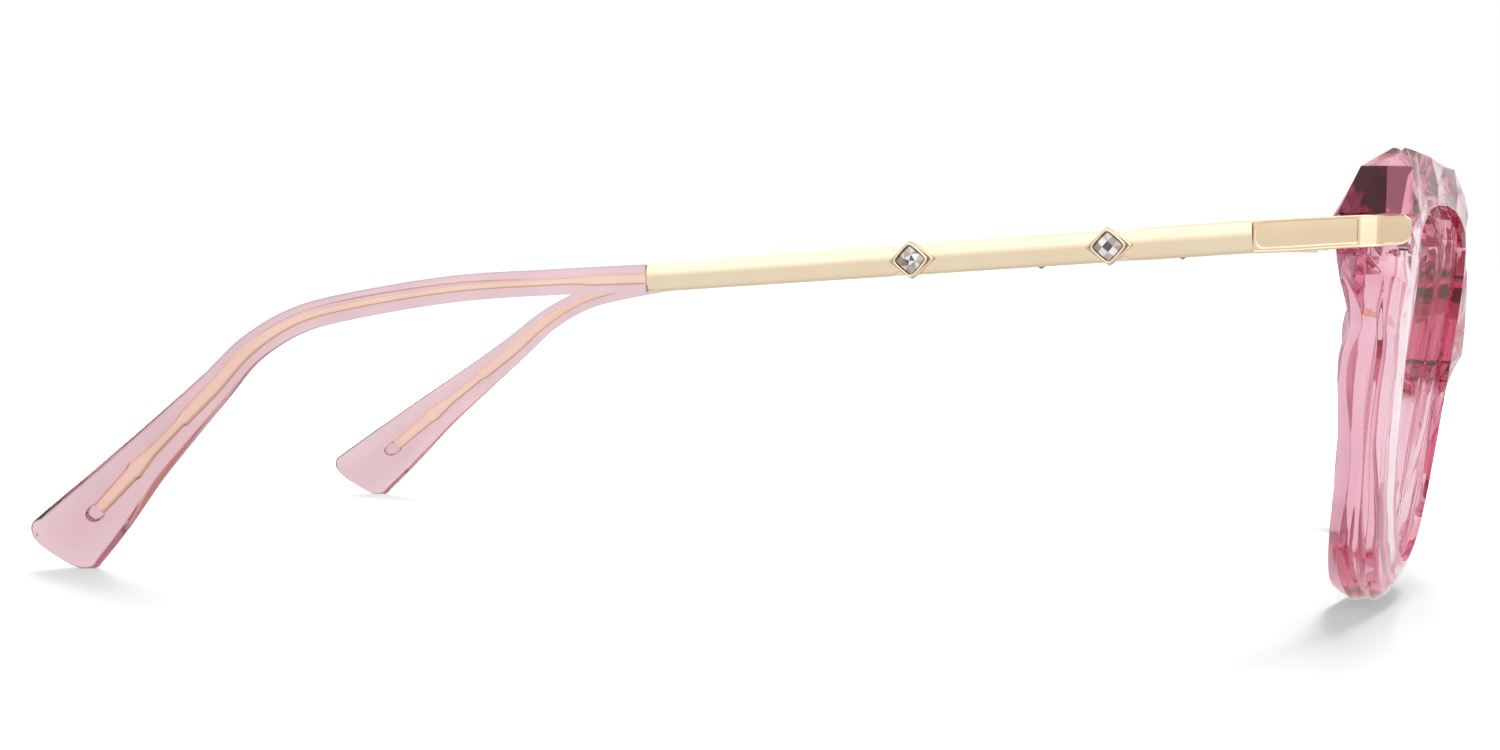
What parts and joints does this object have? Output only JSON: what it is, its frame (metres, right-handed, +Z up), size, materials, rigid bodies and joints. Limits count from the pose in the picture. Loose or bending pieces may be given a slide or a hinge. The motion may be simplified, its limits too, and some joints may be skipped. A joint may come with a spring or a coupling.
{
  "type": "cat eye glasses with folding temples",
  "caption": "Cat eye glasses: a thick clear pink faceted front, slim pale gold temples set with square crystals, and clear pink tips over a metal core; both temples fold.",
  "frame": {"origin": "middle of the whole object's width and length, at the level it stands on", "axes": "+Y the way the temples run, away from where the wearer looks; +Z up; +X towards the wearer's left"},
  "size_m": [0.1376, 0.1612, 0.049],
  "materials": {
    "acetate": "polished clear pink acetate",
    "tip_acetate": "polished clear pale pink acetate",
    "lens": "clear and polished",
    "crystal": "step-cut and polished",
    "gold": "polished champagne gold plate",
    "rose_gold": "drawn rose gold wire",
    "screw_metal": "plain turned"
  },
  "bodies": {
    "front": {"front_frame": "acetate", "right_lens": "lens", "right_nose_pad": "acetate", "right_end_piece": "gold", "right_corner_pin": "gold", "right_front_hinge_leaf": "gold", "right_hinge_screw": "screw_metal", "left_lens": "lens", "left_nose_pad": "acetate", "left_end_piece": "gold", "left_corner_pin": "gold", "left_front_hinge_leaf": "gold", "left_hinge_screw": "screw_metal"},
    "right_temple": {"right_temple_hinge_leaf": "gold", "right_temple_bar": "gold", "right_front_bezel": "gold", "right_front_crystal": "crystal", "right_rear_bezel": "gold", "right_rear_crystal": "crystal", "right_core_wire": "rose_gold", "right_temple_tip": "tip_acetate"},
    "left_temple": {"left_temple_hinge_leaf": "gold", "left_temple_bar": "gold", "left_front_bezel": "gold", "left_front_crystal": "crystal", "left_rear_bezel": "gold", "left_rear_crystal": "crystal", "left_core_wire": "rose_gold", "left_temple_tip": "tip_acetate"}
  },
  "joints": [
    {"name": "right_temple_fold", "type": "hinge", "parent": "front", "child": "right_temple", "pos_m": [-0.06495, -0.0571, 0.03978], "axis": [0, 0, -1], "range_deg": [0, 88]},
    {"name": "left_temple_fold", "type": "hinge", "parent": "front", "child": "left_temple", "pos_m": [0.06495, -0.0571, 0.03978], "axis": [0, 0, 1], "range_deg": [0, 82]}
  ]
}
